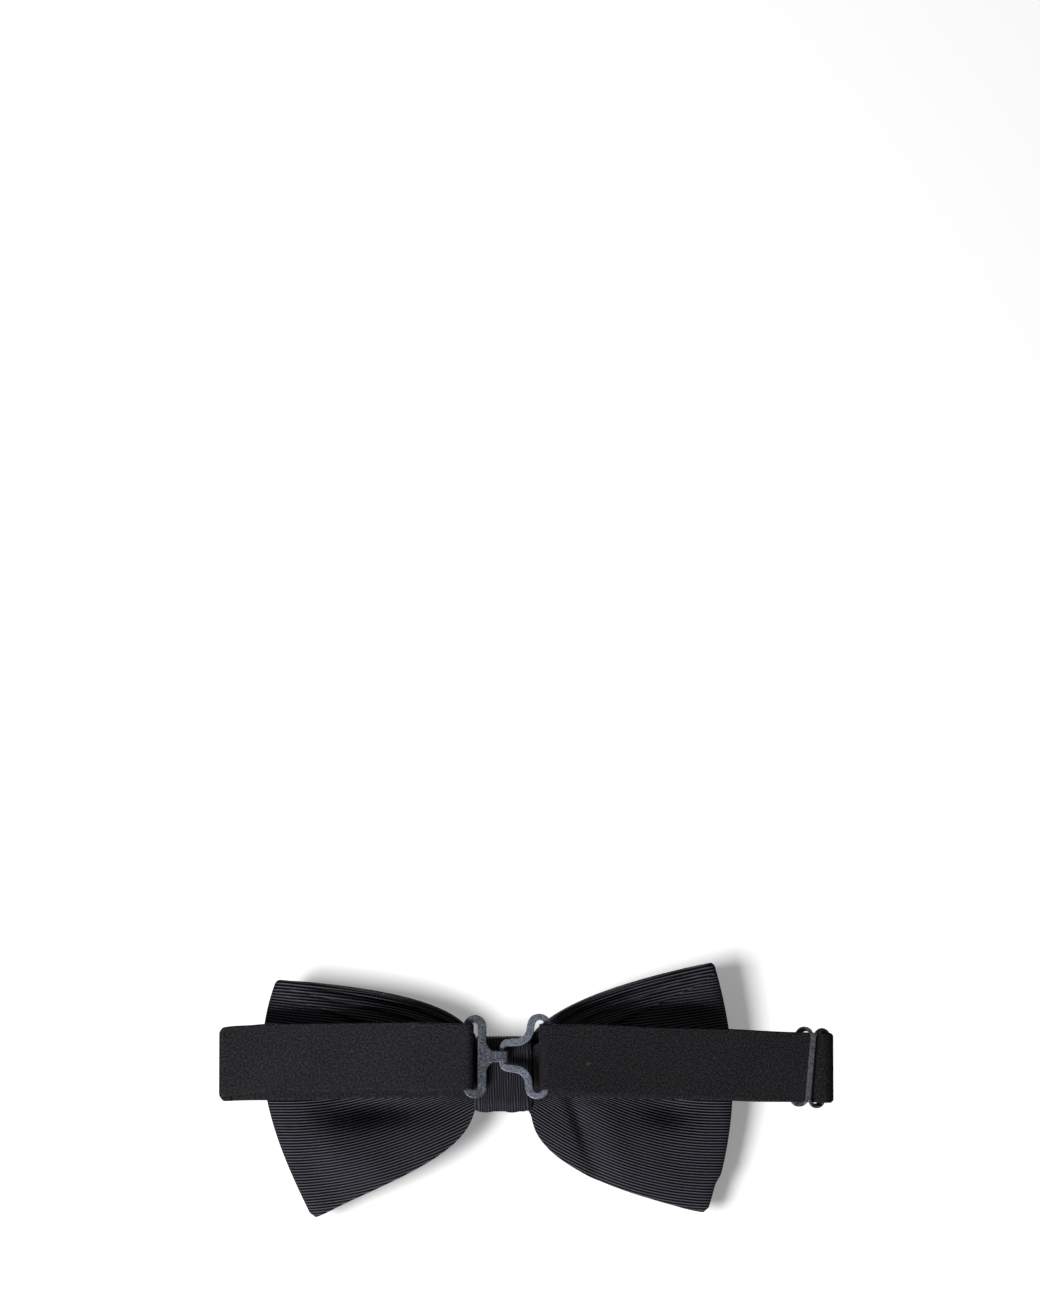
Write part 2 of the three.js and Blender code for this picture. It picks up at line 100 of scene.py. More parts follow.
def normalsOf(grid, ring):
    if ring:
        along = np.roll(grid, -1, 0) - np.roll(grid, 1, 0)
    else:
        along = np.gradient(grid, axis=0)
    across = np.gradient(grid, axis=1)
    normal = np.cross(along, across)
    length = np.linalg.norm(normal, axis=2, keepdims=True)
    return normal / np.maximum(length, 1e-9)


# A sheet of cloth as a closed shell. Rows run along axis 0, and ring joins the last row to the first.
# zoneUv holds one weave map for each zone and zones says which one a strip of faces takes.
def shell(name, grid, under, thickness, ring, zoneUv, zones, finish, body=None):
    normal = normalsOf(grid, ring)
    rows, columns = grid.shape[:2]
    outer = grid - normal * under
    inner = grid - normal * (under + thickness)
    edgeOut = []
    for column, inward in ((0, 1), (columns - 1, columns - 2)):
        out = grid[:, column] - grid[:, inward]
        out /= np.maximum(np.linalg.norm(out, axis=1, keepdims=True), 1e-9)
        edgeOut.append((outer[:, column] + inner[:, column]) / 2 + out * thickness * 0.45)
    points = np.concatenate([outer.reshape(-1, 3), inner.reshape(-1, 3), *edgeOut])
    size = rows * columns
    uv = [np.asarray(u, float).reshape(-1, 2) for u in zoneUv]
    faces, corners = [], []

    def face(a, b, c, d, zone):
        faces.append((a, b, c, d))
        for index in (a, b, c, d):
            if index < 2 * size:
                corners.append(uv[zone][index % size])
            else:
                row = (index - 2 * size) % rows
                column = 0 if index - 2 * size < rows else columns - 1
                corners.append(uv[zone][row * columns + column])

    for i in range(rows if ring else rows - 1):
        j = (i + 1) % rows
        for k in range(columns - 1):
            a, b, c, d = i * columns + k, j * columns + k, j * columns + k + 1, i * columns + k + 1
            face(a, b, c, d, zones[k])
            face(size + d, size + c, size + b, size + a, zones[k])
        low, high = 2 * size, 2 * size + rows
        last = columns - 1
        face(i * columns, low + i, low + j, j * columns, zones[0])
        face(low + i, size + i * columns, size + j * columns, low + j, zones[0])
        face(j * columns + last, high + j, high + i, i * columns + last, zones[-1])
        face(high + j, size + j * columns + last, size + i * columns + last, high + i, zones[-1])
    if not ring:
        for row, flip in ((0, False), (rows - 1, True)):
            for k in range(columns - 1):
                a, b = row * columns + k, row * columns + k + 1
                quad = (a, b, size + b, size + a)
                face(*(quad[::-1] if flip else quad), zones[k])
            for low, column in ((2 * size + row, 0), (2 * size + rows + row, columns - 1)):
                a = row * columns + column
                corner = (a, size + a, low) if (column == 0) != flip else (a, low, size + a)
                faces.append(corner)
                corners.extend([uv[zones[0]][a]] * 3)
    return addPiece(name, points, faces, corners, finish, body)


# Finishes

class Field:
    # A socket that sums and products can be written with.
    def __init__(self, finish, socket):
        self.finish = finish
        self.socket = socket

    def combine(self, operation, first, second):
        return self.finish.node("ShaderNodeMath", {"operation": operation}, {0: first, 1: second})

    def __add__(self, other):
        return self.combine("ADD", self, other)

    def __sub__(self, other):
        return self.combine("SUBTRACT", self, other)

    def __mul__(self, other):
        return self.combine("MULTIPLY", self, other)

    def __pow__(self, other):
        return self.combine("POWER", self, other)

    def __rsub__(self, other):
        return self.combine("SUBTRACT", other, self)

    __radd__ = __add__
    __rmul__ = __mul__

    def cosine(self):
        return self.finish.node("ShaderNodeMath", {"operation": "COSINE"}, {0: self})

    def wave(self, pitch):
        return (self * (2 * math.pi / pitch)).cosine() * 0.5 + 0.5


class Finish:
    def __init__(self, name):
        self.material = bpy.data.materials.new(name)
        self.material.use_nodes = True
        self.tree = self.material.node_tree
        self.shader = self.tree.nodes["Principled BSDF"]

    def node(self, kind, settings=None, sockets=None, output=0):
        made = self.tree.nodes.new(kind)
        for key, value in (settings or {}).items():
            setattr(made, key, value)
        for key, value in (sockets or {}).items():
            if isinstance(value, Field):
                self.tree.links.new(value.socket, made.inputs[key])
            else:
                made.inputs[key].default_value = value
        return Field(self, made.outputs[output])

    def weave(self):
        place = self.node("ShaderNodeUVMap", {"uv_map": "weave"})
        first = self.node("ShaderNodeSeparateXYZ", None, {0: place})
        second = Field(self, first.socket.node.outputs[1])
        return first, second

    def noise(self, x, y, scale, detail=2.0, z=0.0):
        at = self.node("ShaderNodeCombineXYZ", None, {0: x * scale, 1: y * scale, 2: z})
        return self.node("ShaderNodeTexNoise", None, {"Vector": at, "Scale": 1.0, "Detail": detail})

    def mixed(self, share, first, second):
        settings = {"data_type": "RGBA"}
        sockets = {"Factor": share, 6: first, 7: second}
        return self.node("ShaderNodeMix", settings, sockets, output=2)

    def bump(self, height, depth, strength=1.0):
        sockets = {"Height": height, "Distance": depth, "Strength": strength}
        return self.node("ShaderNodeBump", None, sockets)

    def set(self, **values):
        names = {
            "colour": "Base Color",
            "roughness": "Roughness",
            "metallic": "Metallic",
            "specular": "Specular IOR Level",
            "sheen": "Sheen Weight",
            "sheenRoughness": "Sheen Roughness",
            "normal": "Normal",
        }
        for key, value in values.items():
            socket = self.shader.inputs[names[key]]
            if isinstance(value, Field):
                self.tree.links.new(value.socket, socket)
            else:
                socket.default_value = value
        return self.material


def shade(level, tint=(1.0, 1.0, 1.0)):
    return (level * tint[0], level * tint[1], level * tint[2], 1.0)


# Grosgrain: thick weft cords under a fine warp. The first weave coordinate crosses the cords.
def grosgrain(name, look):
    cloth = Finish(name)
    across, along = cloth.weave()
    drift = cloth.noise(across, along, 60.0, 3.0) - 0.5
    across = across + drift * (look["drift"] * mm)
    cord = across.wave(look["pitch"] * mm)
    crest = cord ** look["sharpness"]
    cordNoise = cloth.noise(across * 1.4, along * 0.16, 2600.0, 3.0, 4.0)
    warp = cloth.noise(across * 0.35, along, 5200.0, 1.0, 9.0)
    broad = cloth.noise(across, along, 90.0, 3.0, 17.0)
    # The cords' colour carries painted light: a painted highlight along each crest and painted shade in the
    # grooves between cords.
    lit = crest * (cordNoise * 0.8 + warp * 0.5 + 0.35)
    dark = shade(look["paintedGrooveShade"], look["tint"])
    light = shade(look["crest"], look["tint"])
    colour = cloth.mixed(lit * (broad * 0.5 + 0.75), dark, light)
    height = crest + warp * 0.18 + cordNoise * 0.2
    return cloth.set(
        colour=colour,
        roughness=0.8 - crest * 0.25,
        specular=look["specular"],
        normal=cloth.bump(height, look["depth"] * mm),
    )


# The darkest colour level is painted shade in the grooves between cords, and the crest level is a painted
# highlight along each cord.
bowCloth = {
    "pitch": 0.75, "drift": 0.3, "sharpness": 1.3, "depth": 0.32,
    "paintedGrooveShade": 0.0005, "crest": 0.094, "tint": (0.94, 0.95, 1.16), "specular": 0.08,
}
knotCloth = {
    "pitch": 0.63, "drift": 0.75, "sharpness": 1.1, "depth": 0.18,
    "paintedGrooveShade": 0.005, "crest": 0.046, "tint": (0.95, 0.96, 1.2), "specular": 0.1,
}
bowFinish = grosgrain("bowGrosgrain", bowCloth)
knotFinish = grosgrain("knotGrosgrain", knotCloth)


# Satin-faced twill of the neck band: fine diagonal lines, flecks and a little lint.
def bandTwill(name, look):
    cloth = Finish(name)
    along, across = cloth.weave()
    diagonal = (along + across * look["steep"]).wave(look["pitch"] * mm)
    yarn = (along - across * look["steep"]).wave(look["pitch"] * mm * 1.6)
    fleck = cloth.noise(along, across, 1900.0, 2.0)
    broad = cloth.noise(along, across, 55.0, 4.0, 5.0)
    lint = cloth.noise(along, across, 420.0, 0.0, 12.0)
    rare = {"Value": lint, "From Min": 0.80, "From Max": 0.86, "To Min": 0.0, "To Max": look["lint"]}
    speck = cloth.node("ShaderNodeMapRange", None, rare)
    weave = diagonal * look["line"] + yarn * 0.15 + (fleck - 0.5) * look["fleck"] + look["floor"]
    dark = shade(look["dark"], look["tint"])
    light = shade(look["light"], look["tint"])
    base = cloth.mixed(weave * (broad * 0.6 + 0.6), dark, light)
    colour = cloth.mixed(speck, base, shade(look["lintLevel"]))
    height = diagonal * 0.8 + yarn * 0.3 + fleck * 0.6
    return cloth.set(
        colour=colour,
        roughness=0.62 + fleck * 0.2,
        specular=look["specular"],
        normal=cloth.bump(height, look["depth"] * mm),
    )


hookBandLook = {
    "pitch": 0.36, "steep": 1.0, "line": 0.4, "fleck": 3.0, "floor": 0.18, "lint": 0.5, "lintLevel": 0.07,
    "depth": 0.03, "dark": 0.003, "light": 0.034, "tint": (0.98, 0.97, 1.1), "specular": 0.12,
}
sliderBandLook = {
    "pitch": 0.62, "steep": 0.8, "line": 1.0, "fleck": 2.6, "floor": -0.12, "lint": 0.35, "lintLevel": 0.07,
    "depth": 0.06, "dark": 0.0, "light": 0.030, "tint": (0.98, 0.97, 1.1), "specular": 0.1,
}
hookBandFinish = bandTwill("hookBandSatin", hookBandLook)
sliderBandFinish = bandTwill("sliderBandTwill", sliderBandLook)


# Painted steel: a speckled blue-grey coat, worn to brighter metal in places.
def coatedSteel(name, look):
    steel = Finish(name)
    place = steel.node("ShaderNodeTexCoord", None, None, output=3)
    grain = steel.node("ShaderNodeTexNoise", None, {"Vector": place, "Scale": 3000.0, "Detail": 2.0})
    cloud = steel.node("ShaderNodeTexNoise", None, {"Vector": place, "Scale": 480.0, "Detail": 3.0})
    speckle = (grain - 0.5) * look["speckle"] + 0.5 + (cloud - 0.5) * 0.7
    share = steel.node("ShaderNodeClamp", None, {"Value": speckle})
    colour = steel.mixed(share, shade(look["dark"], look["tint"]), shade(look["light"], look["tint"]))
    return steel.set(
        colour=colour,
        roughness=look["roughness"] + (grain - 0.5) * 0.3,
        metallic=look["metallic"],
        specular=0.45,
        normal=steel.bump(grain + cloud * 0.5, look["depth"] * mm),
    )


hookSteel = {
    "dark": 0.03, "light": 0.17, "tint": (0.90, 1.0, 1.24), "speckle": 3.4,
    "roughness": 0.42, "metallic": 0.35, "depth": 0.035,
}
eyeSteel = dict(hookSteel, dark=0.085, light=0.27)
sliderSteel = dict(hookSteel, dark=0.04, light=0.14, tint=(1.0, 0.99, 1.08))
hookFinish = coatedSteel("hookSteel", hookSteel)
eyeFinish = coatedSteel("eyeSteel", eyeSteel)
sliderFinish = coatedSteel("sliderSteel", sliderSteel)


# Canvas and felt, which stay inside the bow, and the thread of every stitch.
def plainCloth(name, look):
    cloth = Finish(name)
    place = cloth.node("ShaderNodeTexCoord", None, None, output=3)
    aside = cloth.node("ShaderNodeSeparateXYZ", None, {0: place})
    up = Field(cloth, aside.socket.node.outputs[2])
    warp = aside.wave(look["pitch"] * mm)
    weft = up.wave(look["pitch"] * mm)
    fuzz = cloth.node("ShaderNodeTexNoise", None, {"Vector": place, "Scale": look["fuzz"], "Detail": 3.0})
    weave = warp * weft * look["weave"] + fuzz * (1 - look["weave"])
    colour = cloth.mixed(weave, shade(look["dark"], look["tint"]), shade(look["light"], look["tint"]))
    return cloth.set(
        colour=colour, roughness=0.9, specular=0.15, sheen=0.05, sheenRoughness=0.5,
        normal=cloth.bump(weave, look["depth"] * mm),
    )


canvasLook = {
    "pitch": 0.6, "fuzz": 1500.0, "weave": 0.6, "depth": 0.1,
    "dark": 0.02, "light": 0.06, "tint": (1.0, 0.99, 1.02),
}
feltLook = {
    "pitch": 0.8, "fuzz": 2600.0, "weave": 0.1, "depth": 0.15,
    "dark": 0.02, "light": 0.07, "tint": (1.0, 1.0, 1.0),
}
threadLook = {
    "pitch": 0.25, "fuzz": 3000.0, "weave": 0.5, "depth": 0.06,
    "dark": 0.006, "light": 0.05, "tint": (1.0, 1.0, 1.06),
}
canvasFinish = plainCloth("canvas", canvasLook)
feltFinish = plainCloth("felt", feltLook)
threadFinish = plainCloth("thread", threadLook)
print("finishes made")


# The bow: two closed loops of ribbon, pinched in the knot

wrapLow, wrapHigh = boxOf("knot_wrap")
knotHalf = (wrapHigh[0] - wrapLow[0]) / 2
knotExit = knotHalf + 0.3  # where the wings leave the knot
wingRoot = 7.6  # X of that place in the outlines below
bandRearLow, _ = boxOf("band_rear")

# Each outline runs outwards from the knot, and the fold runs upwards, in X away from the knot and Z.
hookWing = {
    "side": 1,
    "tuck": 0.0,  # how far the fold steps in near its lower corner
    "upper": ((wingRoot, 10), (14, 20), (35, 22.6), (60.2, 24.9)),
    "lower": ((wingRoot, -9.6), (10, -20), (24, -26), (50.6, -37.8)),
    "fold": ((50.6, -37.8), (60.5, -18), (69, 2), (60.2, 24.9)),
    "ribRise": 18.0, "ribBend": 1.9, "ribFall": 0.12,  # how the ribs fan out of the knot
    # centre x, centre z, size along, size across, turn in degrees, height of each swell or dip
    "swells": (
        (34, -8.6, 10.5, 3.4, -3, -5.2),
        (36, -2.0, 12, 6.0, 0, -1.6),
        (19.5, -13.5, 4.5, 4.0, 40, 0.9),
        (40, -22, 13, 5.5, 22, 2.0),
        (22, -20, 9, 3.5, 42, 0.8),
        (52, -8, 5, 14, 10, 0.7),
        (46, 15, 13, 2.6, -6, 0.7),
        (34, 13, 9, 2.0, -16, -0.9),
    ),
}
sliderWing = {
    "side": -1,
    "tuck": 0.9,
    "upper": ((wingRoot, 10), (13, 18), (32, 24.5), (56, 29.4)),
    "lower": ((wingRoot, -9.6), (7, -20), (22, -30), (55, -36.5)),
    "fold": ((55, -36.5), (62, -14), (63.4, 4), (56, 29.4)),
    "ribRise": 21.0, "ribBend": 2.0, "ribFall": 0.16,
    "swells": (
        (20.5, -13, 9.5, 1.4, -72, -2.4),
        (27.5, -14, 10, 2.8, -74, 1.5),
        (45.5, -8.3, 7.0, 3.8, 0, -5.2),
        (36, -24, 12, 6, -24, 1.2),
        (14.5, -17, 7, 2.8, -50, 0.8),
        (50, 15.2, 7, 2.6, 12, -3.2),
        (54, -20, 4, 9, 0, 0.5),
        (51, 22, 5, 3, 20, 0.6),
    ),
}

# Across a wing from the knot to its fold: how far a loop's middle moves and how thick it is.
rearLoop = {
    "waist": -4.6, "size": 1.0,
    "steps": (0, 0.06, 0.18, 0.36, 0.56, 0.76, 0.9, 1),
    "shift": (0, 0, 0, -0.1, -0.2, -0.4, -0.6, -0.7),
    "half": (1.8, 1.9, 2.1, 2.3, 2.4, 2.3, 2.0, 1.6),
}
frontLoop = {
    "waist": -8.5, "size": 0.97,
    "steps": rearLoop["steps"],
    "shift": (-0.2, -0.5, -1.7, -2.6, -2.7, -2.3, -1.9, -1.8),
    "half": (1.8, 2.0, 3.0, 3.4, 3.4, 3.0, 2.3, 1.8),
}
ribbonCut = {
    "thickness": 0.6,
    "lining": 0.3,  # its thickness, and its gap to the ribbon
    "waistHalf": 7.4,
    "cornerRadius": 1.0,
    "columns": 54,
    "foldColumns": 7,
    "foldFrom": 0.955,
    "mainRows": 52,
    "pleatRows": 7,
    "pleats": (13.0, 6.0, 2.3),  # how far below the top edge each pleat starts, at the knot
    "pleatFan": 0.62,
    "pleatLeast": 0.5,
    "pleatGap": 0.04,
    "pleatHeights": ((0.8, -2.6), (0.1, -2.8), (-0.5, -2.6)),  # of each pleat at its start and its end
    "pleatDip": (1.0, 2.4),  # depth and width of the hollow below the first pleat
    "frontFolds": ((-34, 7, 1.5), (-12, 6, 1.2), (10, 6, 1.3), (32, 7, 1.6)),  # degrees, width, depth
    "foldFade": 20.0,
    "waistHeight": 19.6,
    "ribsLevelAt": 56.0,  # X where the ribs run level
    "tuckFrom": -26, "tuckTo": -29.5,
}


def bezier(points, t):
    a, b, c, d = (np.array(p, float) for p in points)
    t = np.asarray(t, float)[..., None]
    return a * (1 - t) ** 3 + 3 * b * t * (1 - t) ** 2 + 3 * c * t ** 2 * (1 - t) + d * t ** 3


def smoothTable(steps, values, at):
    fine = np.linspace(-0.1, 1.1, 241)
    line = np.interp(fine, steps, values)
    kernel = np.hanning(27)
    padded = np.pad(line, 13, mode="edge")
    return np.interp(at, fine, np.convolve(padded, kernel / kernel.sum(), mode="valid"))


# Where the rows of a sheet lie, as the height below the top edge at one column, from bottom to top.
def rowDrops(u, height):
    spread = (1 - u) ** ribbonCut["pleatFan"]
    least = ribbonCut["pleatLeast"]
    lines = [d * spread + least * (3 - k) for k, d in enumerate(ribbonCut["pleats"])] + [0.0]
    rows = list(np.linspace(height, lines[0], ribbonCut["mainRows"]))
    for k in range(3):
        start = lines[k] - ribbonCut["pleatGap"]
        rows += list(np.linspace(start, lines[k + 1], ribbonCut["pleatRows"]))
    return np.array(rows)


mainCount = ribbonCut["mainRows"]
pleatCount = ribbonCut["pleatRows"]
rowZone = [0] * (mainCount - 1)
for pleat in (1, 2, 3):
    rowZone += [pleat] * pleatCount
rowPleat = np.array([0] * mainCount + sum(([k] * pleatCount for k in (1, 2, 3)), []))
rowShare = np.concatenate([np.linspace(0, 1, mainCount)] + [np.linspace(0, 1, pleatCount)] * 3)


# Knife pleats in the top of the rear sheet: each starts proud of the one below and falls away from it.
def pleatHeight(u, drops):
    depth = ease(1.0, 0.8, u) * (0.4 + 0.6 * ease(0.9, 0.4, u))
    dip, width = ribbonCut["pleatDip"]
    rise = np.zeros(len(drops))
    rise[:mainCount] = -dip * bell((drops[:mainCount] - drops[mainCount - 1]) / width)
    for k, (start, end) in enumerate(ribbonCut["pleatHeights"]):
        share = rowShare[rowPleat == k + 1]
        rise[rowPleat == k + 1] = start + (end - start) * share ** 2.2
    return rise * depth


def swellHeight(wing, x, z):
    total = np.zeros_like(z)
    for cx, cz, along, across, turn, height in wing["swells"]:
        c, s = math.cos(math.radians(turn)), math.sin(math.radians(turn))
        dx, dz = x - cx, z - cz
        total += height * bell((dx * c + dz * s) / along) * bell((-dx * s + dz * c) / across)
    return total


# The band's middle line hangs a little lower towards its ends.
def bandHeightAt(x):
    return 4.5 - 0.038 * (np.abs(x) - 7)


bandRoom = {"below": 10.6, "above": 9.4, "fade": (4.5, 4.0), "gap": 0.25, "swell": 3.0}


# The rear sheet stays behind the neck band, and may swell past that level clear of it.
def keptUnderBand(x, y, z):
    low = bandHeightAt(x) - bandRoom["below"]
    high = bandHeightAt(x) + bandRoom["above"]
    free = ease(0, bandRoom["fade"][0], low - z) + ease(0, bandRoom["fade"][1], z - high)
    limit = bandRearLow[1] - bandRoom["gap"] + free * bandRoom["swell"]
    return np.minimum(y, limit)


# Soft folds that run out of the knot on the front of the bow.
def frontFolds(x, z):
    reach = np.hypot(x - 3, z)
    angle = np.degrees(np.arctan2(z, x - 3))
    total = np.zeros_like(z)
    for at, width, depth in ribbonCut["frontFolds"]:
        total -= depth * bell((angle - at) / width)
        total += 0.45 * depth * bell((angle - at - 1.9 * width) / width)
    return total * np.exp(-reach / ribbonCut["foldFade"]) * ease(2, 9, reach) * 1.6


# One column of a wing at u, from the knot to the fold. face is 1 for the sheet nearer the wearer
# and -1 for the other, and turn runs from 0 to a right angle round the fold.
def wingColumn(loop, wing, face, u, turn, rear):
    bottom, top = bezier(wing["lower"], u), bezier(wing["upper"], u)
    height = top[1] - bottom[1]
    drops = rowDrops(u, height)
    v = 1 - drops / height
    flat = bezier(wing["lower"], 1.0) * (1 - v[:, None]) + bezier(wing["upper"], 1.0) * v[:, None]
    bend = bezier(wing["fold"], v) - flat
    at = bottom * (1 - v[:, None]) + top * v[:, None] + bend * u ** 2
    radius = ribbonCut["cornerRadius"]
    fromCorner = np.minimum(np.minimum(drops, height - drops), radius)
    pull = radius - np.sqrt(radius ** 2 - (radius - fromCorner) ** 2)
    stepped = ease(ribbonCut["tuckFrom"], ribbonCut["tuckTo"], at[:, 1]) * ease(0.8, 1, u)
    x = at[:, 0] - pull * ease(0.88, 1.0, u) - wing["tuck"] * stepped
    x = knotExit + (x - wingRoot) * loop["size"]
    z = at[:, 1] * loop["size"]
    half = smoothTable(loop["steps"], loop["half"], u) * math.cos(turn)
    shift = smoothTable(loop["steps"], loop["shift"], u)
    fade = ease(0.0, 0.16, u) * (1 - ease(0.84, 1.0, u)) * math.cos(turn)
    y = np.full(len(z), loop["waist"] + shift + face * half)
    if rear and face > 0:
        y += pleatHeight(u, drops) * math.cos(turn) * ease(0.0, 0.05, u)
        y += swellHeight(wing, x, z) * fade
        y = keptUnderBand(x, y, z)
    elif rear or face > 0:
        y += np.minimum(swellHeight(wing, x, z), 0) * 0.6 * fade
    else:
        y -= frontFolds(x, z) * math.cos(turn) * ease(0.0, 0.04, u)
        y -= 0.6 * bell((x - 40) / 16) * bell((z + 2) / 18) * fade
    return x, y, z, drops


# Where the ribs run: fanned out of the knot, and along the edge in the pleats.
def ribsAt(wing, x, z, drops, pleated):
    outer = ribbonCut["ribsLevelAt"]
    q = np.clip((outer - x) / (outer - wingRoot), 0, 1)
    low = wing["ribRise"] * q ** wing["ribBend"]
    high = -wing["ribFall"] * (outer - x)
    lower = ease(9, -9, z)
    ribs = z - low * lower - high * (1 - lower)
    return -drops if pleated else ribs * (1 - 0.14 * q ** 2)


# One closed loop, starting behind the middle of the knot and running round the hook's wing first.
def loopGrid(loop, rear):
    cut = ribbonCut
    across = np.linspace(0, cut["foldFrom"], cut["columns"])
    across = across ** 1.12 * cut["foldFrom"] ** (1 - 1.12)
    turns = [math.radians(90 * k / cut["foldColumns"]) for k in range(1, cut["foldColumns"] + 1)]
    folded = [(cut["foldFrom"] + (1 - cut["foldFrom"]) * math.sin(t), t) for t in turns]
    out = [(u, 0.0) for u in across] + folded
    waistX = (0.0, 2.5, 5.0, knotHalf - 0.55, knotHalf - 0.15)
    columns, ribs, pleated = [], [], []

    def waist(side, face, x):
        half = cut["waistHalf"]
        z = half - 2 * half * rowDrops(0.0, cut["waistHeight"]) / cut["waistHeight"]
        y = np.full(len(z), loop["waist"] + face * smoothTable(loop["steps"], loop["half"], 0.0))
        columns.append(np.stack([np.full(len(z), side * x), y, z], 1))
        ribs.append(np.stack([z, np.full(len(z), side * x)], 1))
        pleated.append(ribs[-1])

    def wingSide(wing, face, steps):
        for u, turn in steps:
            x, y, z, drops = wingColumn(loop, wing, face, u, turn, rear)
            columns.append(np.stack([wing["side"] * x, y, z], 1))
            ribs.append(np.stack([ribsAt(wing, x, z, drops, False), wing["side"] * x], 1))
            pleated.append(np.stack([ribsAt(wing, x, z, drops, rear and face > 0), wing["side"] * x], 1))

    for x in waistX:
        waist(1, 1, x)
    wingSide(hookWing, 1, out)
    wingSide(hookWing, -1, out[-2::-1])
    for x in waistX[::-1]:
        waist(1, -1, x)
    for x in waistX[1:]:
        waist(-1, -1, x)
    wingSide(sliderWing, -1, out)
    wingSide(sliderWing, 1, out[-2::-1])
    for x in waistX[:0:-1]:
        waist(-1, 1, x)
    return np.array(columns), [np.array(ribs)] + [np.array(pleated)] * 3


def makeLoop(name, liningName, loop, rear, ribbonNode, liningNode):
    grid, maps = loopGrid(loop, rear)
    grid, maps = grid[::-1], [weave[::-1] for weave in maps]
    ribbon = shell(name, grid, 0.0, ribbonCut["thickness"], True, maps, rowZone, bowFinish, "bow")
    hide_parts(ribbonNode)
    thin = grid[::2, 2:-2:3]
    flatMap = [np.zeros((thin.shape[0] * thin.shape[1], 2))]
    zones = [0] * (thin.shape[1] - 1)
    depth = ribbonCut["thickness"] + ribbonCut["lining"]
    lining = shell(liningName, thin, depth, ribbonCut["lining"], True, flatMap, zones, canvasFinish, "bow")
    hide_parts(liningNode)


makeLoop("rearBow", "rearLining", rearLoop, True, "rear_ribbon", "rear_interlining")
makeLoop("frontBow", "frontLining", frontLoop, False, "front_ribbon", "front_interlining")
print("bow made")


# The knot: a band of the ribbon wrapped round the waist, with a felt pad under its face

wrapShape = {
    "thickness": 0.62, "columns": 41,
    "rearEase": 0.3,  # how far its back lies in, clear of the eye as that swivels
    "rearCorner": 2.4, "frontCorner": 4.6, "frontCrown": 0.7,
    "middle": -6.9,  # Y of the knot's middle
    "pleats": ((-3.1, 0.7, 0.55), (2.6, 0.8, 0.6), (5.2, 0.5, 0.3)),  # at x, width, depth on the face
}


def wrapPath():
    back, front = wrapHigh[1] - wrapShape["rearEase"], wrapLow[1]
    half = wrapHigh[2]
    rear, face = wrapShape["rearCorner"], wrapShape["frontCorner"]
    path = []

    def arcTo(cy, cz, radius, start, count=9):
        for k in range(count):
            angle = math.radians(start + 90 * k / (count - 1))
            path.append((cy + radius * math.cos(angle), cz + radius * math.sin(angle)))

    def straight(y0, z0, y1, z1, count):
        for k in range(1, count):
            path.append((y0 + (y1 - y0) * k / count, z0 + (z1 - z0) * k / count))

    arcTo(back - rear, half - rear, rear, 0)
    straight(back - rear, half, front + face, half, 7)
    arcTo(front + face, half - face, face, 90)
    straight(front, half - face, front, -half + face, 14)
    arcTo(front + face, -half + face, face, 180)
    straight(front + face, -half, back - rear, -half, 7)
    arcTo(back - rear, -half + rear, rear, 270)
    straight(back, -half + rear, back, half - rear, 22)
    return np.array(path)


def makeWrap():
    path = wrapPath()
    count = len(path)
    steps = np.linalg.norm(np.roll(path, -1, 0) - path, axis=1)
    length = np.concatenate([[0], np.cumsum(steps)[:-1]])
    x = np.linspace(-1, 1, wrapShape["columns"])
    x = np.sign(x) * (1 - (1 - np.abs(x)) ** 1.35)
    grid = np.zeros((count, len(x), 3))
    weave = np.zeros((count, len(x), 2))
    for i, (y, z) in enumerate(path):
        facing = ease(-5.0, -12.0, y)
        low = ease(-5, -9, z)
        edge = 0.25 * math.sin(length[i] * 0.55) + 0.15 * math.sin(length[i] * 1.4 + 1)
        wide = (knotHalf + edge * 0.4 + 0.25 * facing) * x
        roll = np.clip((np.abs(x) - 0.86) / 0.14, 0, 1) ** 2 * 0.7
        wave = low * 0.28 * np.sin(wide * 0.9 + 0.6) * bell(wide / 8)
        crown = facing * wrapShape["frontCrown"] * (1 - (z / wrapHigh[2]) ** 2) * (1 - x ** 2 * 0.6)
        for at, width, depth in wrapShape["pleats"]:
            crown -= facing * depth * bell((wide - at - z * 0.06) / width)
        toMiddle = np.array([wrapShape["middle"] - y, -z])
        toMiddle /= max(np.linalg.norm(toMiddle), 1e-6)
        grid[i, :, 0] = wide
        grid[i, :, 1] = y + roll * toMiddle[0] - crown
        grid[i, :, 2] = z + roll * toMiddle[1] + wave
        weave[i, :, 0] = wide + 0.12 * np.sin(length[i] * 0.5 + wide * 2.0)
        weave[i, :, 1] = length[i]
    grid = grid[:, ::-1]
    weave = weave[:, ::-1]
    zones = [0] * (len(x) - 1)
    wrap = shell("knotWrap", grid, 0.0, wrapShape["thickness"], True, [weave], zones, knotFinish, "bow")
    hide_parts("knot_wrap")


def makePad():
    low, high = boxOf("knot_pad")
    across, up = np.linspace(-1, 1, 13), np.linspace(-1, 1, 17)
    middle, half = (low + high) / 2, (high - low) / 2
    grid = np.zeros((len(up), len(across), 3))
    for i, v in enumerate(up):
        for k, u in enumerate(across):
            crown = (1 - abs(u) ** 3) * (1 - abs(v) ** 3)
            grid[i, k] = (
                middle[0] + half[0] * u * (1 - 0.06 * v * v),
                low[1] + half[1] * (0.9 - 0.75 * crown),
                middle[2] + half[2] * v * (1 - 0.05 * u * u),
            )
    flatMap = [np.zeros((grid.shape[0] * grid.shape[1], 2))]
    zones = [0] * (len(across) - 1)
    thick = half[1] * 0.9
    pad = shell("knotPad", grid, -thick, thick, False, flatMap, zones, feltFinish, "bow")
    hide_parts("knot_pad")


makeWrap()
makePad()
print("knot made")


# The neck band. A route is a list of x, y, z and half width, its width along Z.

